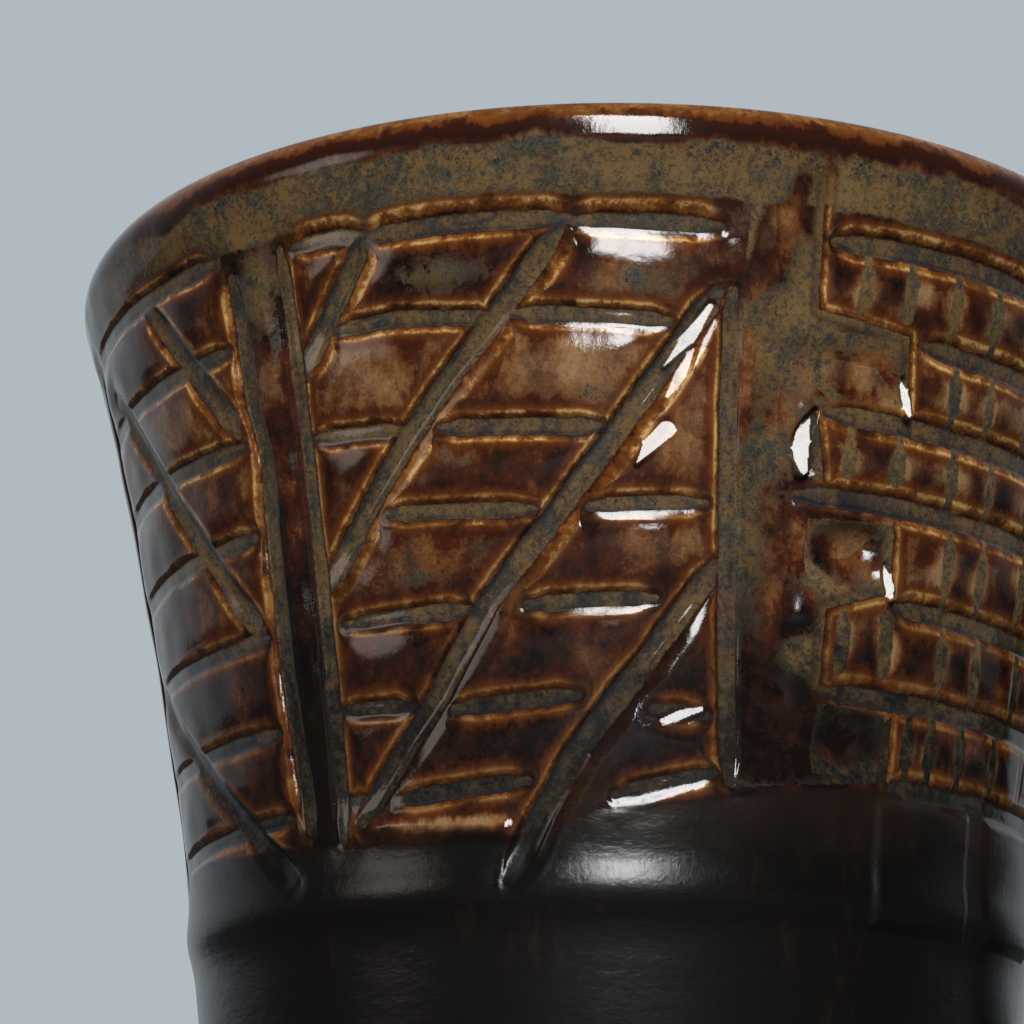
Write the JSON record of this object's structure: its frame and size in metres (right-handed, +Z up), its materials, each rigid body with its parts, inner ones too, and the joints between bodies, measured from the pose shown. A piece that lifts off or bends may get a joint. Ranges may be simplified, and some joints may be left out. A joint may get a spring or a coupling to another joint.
{
  "type": "mug",
  "caption": "Flared stoneware mug with carved timber and brick panels under a glossy brown glaze, a plain dark foot and a strap handle, for hot drinks.",
  "frame": {"origin": "middle of the flat base that the mug stands on", "axes": "+Z up along the mug's axis, +X towards the handle, -Y is the front that the picture shows"},
  "size_m": [0.1227, 0.092, 0.1],
  "materials": {
    "bare_clay": "matte bare stoneware",
    "dark_glaze": "satin near-black brown glaze",
    "amber_glaze": "glossy red-brown glaze that breaks to amber on edges and pools olive in grooves",
    "olive_glaze": "glossy olive-grey speckled glaze",
    "liner": "glossy brown glaze"
  },
  "bodies": {
    "root": {"base_slab": "bare_clay", "lower_wall": "dark_glaze", "carved_wall": "amber_glaze", "rim_band": "olive_glaze", "liner_glaze": "liner", "handle_strap": "amber_glaze", "handle_upper_root": "amber_glaze", "handle_lower_root": "dark_glaze"}
  },
  "joints": []
}
